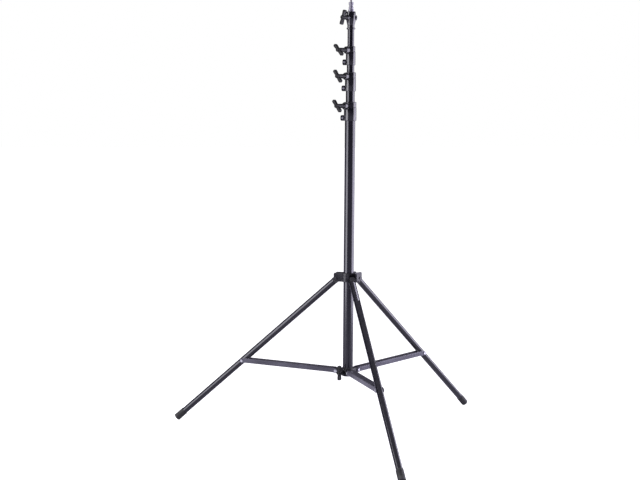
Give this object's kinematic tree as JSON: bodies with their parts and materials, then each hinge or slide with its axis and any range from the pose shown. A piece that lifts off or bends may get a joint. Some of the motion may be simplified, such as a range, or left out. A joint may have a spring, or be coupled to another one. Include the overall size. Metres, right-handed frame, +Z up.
{
  "type": "lighting stand",
  "caption": "Telescopic stand with a folding braced three-leg base, split collars with T-knobs, and a top stud for a lamp head.",
  "frame": {"origin": "floor level at the middle of the footprint rectangle, legs spread; the column axis stands behind it on +Y", "axes": "+Z up along the column, front leg towards -Y, right leg towards +X and +Y"},
  "size_m": [1.1128, 0.967, 1.4829],
  "materials": {
    "black_anodised": "satin black anodised",
    "black_channel": "satin black, slightly greyer",
    "black_casting": "black powder-coated die casting",
    "bright_zinc": "bright zinc plated",
    "knob_plastic": "moulded black, fine matt grain",
    "black_rubber": "matt",
    "bush_nylon": "moulded black nylon"
  },
  "bodies": {
    "column": {"base_tube": "black_anodised", "bottom_plug": "bush_nylon", "lower_collar": "black_casting", "brace_bolts": "bright_zinc", "brace_nuts": "bright_zinc", "collar_c": "black_casting", "collar_c_screw": "bright_zinc", "clamp_ring_c": "black_casting", "collar_c_bush": "bush_nylon"},
    "hub": {"leg_hub": "black_casting", "hub_bush": "bush_nylon", "hub_bolts": "bright_zinc"},
    "riser_1": {"riser_1_tube": "black_anodised", "riser_1_piston": "bush_nylon", "riser_1_seal": "black_rubber", "collar_b": "black_casting", "collar_b_screw": "bright_zinc", "clamp_ring_b": "black_casting", "collar_b_bush": "bush_nylon"},
    "riser_2": {"riser_2_tube": "black_anodised", "riser_2_piston": "bush_nylon", "riser_2_seal": "black_rubber", "collar_a": "black_casting", "collar_a_screw": "bright_zinc", "clamp_ring_a": "black_casting", "collar_a_bush": "bush_nylon"},
    "riser_3": {"riser_3_tube": "black_anodised", "riser_3_piston": "bush_nylon", "riser_3_seal": "black_rubber", "riser_3_flange": "black_casting", "head_neck": "black_casting", "head_cap": "black_casting", "stud": "bright_zinc", "head_side_screw": "bright_zinc"},
    "brace_front_body": {"brace_front": "black_channel", "leg_rivet_front": "bright_zinc"},
    "leg_front": {"leg_tube_front": "black_anodised", "leg_eye_front": "bush_nylon", "foot_front": "black_rubber"},
    "brace_right_body": {"brace_right": "black_channel", "leg_rivet_right": "bright_zinc"},
    "leg_right": {"leg_tube_right": "black_anodised", "leg_eye_right": "bush_nylon", "foot_right": "black_rubber"},
    "brace_left_body": {"brace_left": "black_channel", "leg_rivet_left": "bright_zinc"},
    "leg_left": {"leg_tube_left": "black_anodised", "leg_eye_left": "bush_nylon", "foot_left": "black_rubber"},
    "knob_c_body": {"knob_c": "knob_plastic", "knob_c_screw": "bright_zinc"},
    "knob_b_body": {"knob_b": "knob_plastic", "knob_b_screw": "bright_zinc"},
    "knob_a_body": {"knob_a": "knob_plastic", "knob_a_screw": "bright_zinc"},
    "knob_top_body": {"knob_top": "knob_plastic", "knob_top_screw": "bright_zinc"},
    "knob_low_body": {"knob_low": "knob_plastic", "knob_low_screw": "bright_zinc"}
  },
  "joints": [
    {"name": "hub_slide", "type": "slide", "parent": "column", "child": "hub", "axis": [0, 0, 1], "range_m": [0, 0.47898]},
    {"name": "brace_front_hinge", "type": "hinge", "parent": "column", "child": "brace_front_body", "pos_m": [0, 0.11621, 0.21687], "axis": [-1, 0, 0], "range_deg": [0, 82.27]},
    {"name": "leg_front_hinge", "type": "hinge", "parent": "brace_front_body", "child": "leg_front", "pos_m": [0, -0.2261, 0.23107], "axis": [1, 0, 0], "range_deg": [0, 126.5]},
    {"name": "brace_right_hinge", "type": "hinge", "parent": "column", "child": "brace_right_body", "pos_m": [0.03464, 0.17621, 0.21687], "axis": [0.5, -0.866, 0], "range_deg": [0, 82.27]},
    {"name": "leg_right_hinge", "type": "hinge", "parent": "brace_right_body", "child": "leg_right", "pos_m": [0.33109, 0.34736, 0.23107], "axis": [-0.5, 0.866, 0], "range_deg": [0, 126.5]},
    {"name": "brace_left_hinge", "type": "hinge", "parent": "column", "child": "brace_left_body", "pos_m": [-0.03464, 0.17621, 0.21687], "axis": [0.5, 0.866, 0], "range_deg": [0, 82.27]},
    {"name": "leg_left_hinge", "type": "hinge", "parent": "brace_left_body", "child": "leg_left", "pos_m": [-0.33109, 0.34736, 0.23107], "axis": [-0.5, -0.866, 0], "range_deg": [0, 126.5]},
    {"name": "riser_1_slide", "type": "slide", "parent": "column", "child": "riser_1", "axis": [0, 0, 1], "range_m": [0, 0.83]},
    {"name": "riser_2_slide", "type": "slide", "parent": "riser_1", "child": "riser_2", "axis": [0, 0, 1], "range_m": [0, 0.83]},
    {"name": "riser_3_slide", "type": "slide", "parent": "riser_2", "child": "riser_3", "axis": [0, 0, 1], "range_m": [0, 0.83]},
    {"name": "knob_c_turn", "type": "hinge", "parent": "column", "child": "knob_c_body", "pos_m": [-0.03464, 0.13621, 1.12386], "axis": [-0.866, -0.5, 0], "continuous": true},
    {"name": "knob_b_turn", "type": "hinge", "parent": "riser_1", "child": "knob_b_body", "pos_m": [-0.03464, 0.13621, 1.22287], "axis": [-0.866, -0.5, 0], "continuous": true},
    {"name": "knob_a_turn", "type": "hinge", "parent": "riser_2", "child": "knob_a_body", "pos_m": [-0.03464, 0.13621, 1.30987], "axis": [-0.866, -0.5, 0], "continuous": true},
    {"name": "knob_top_turn", "type": "hinge", "parent": "riser_3", "child": "knob_top_body", "pos_m": [-0.03464, 0.13621, 1.41786], "axis": [-0.866, -0.5, 0], "continuous": true},
    {"name": "knob_low_turn", "type": "hinge", "parent": "column", "child": "knob_low_body", "pos_m": [-0.03464, 0.13621, 0.21487], "axis": [-0.866, -0.5, 0], "continuous": true}
  ],
  "couplings": [
    {"joint": "brace_front_hinge", "follows": "hub_slide", "rad_per_m": 2.9974},
    {"joint": "leg_front_hinge", "follows": "hub_slide", "rad_per_m": 4.6089},
    {"joint": "brace_right_hinge", "follows": "hub_slide", "rad_per_m": 2.9974},
    {"joint": "leg_right_hinge", "follows": "hub_slide", "rad_per_m": 4.6089},
    {"joint": "brace_left_hinge", "follows": "hub_slide", "rad_per_m": 2.9974},
    {"joint": "leg_left_hinge", "follows": "hub_slide", "rad_per_m": 4.6089}
  ]
}
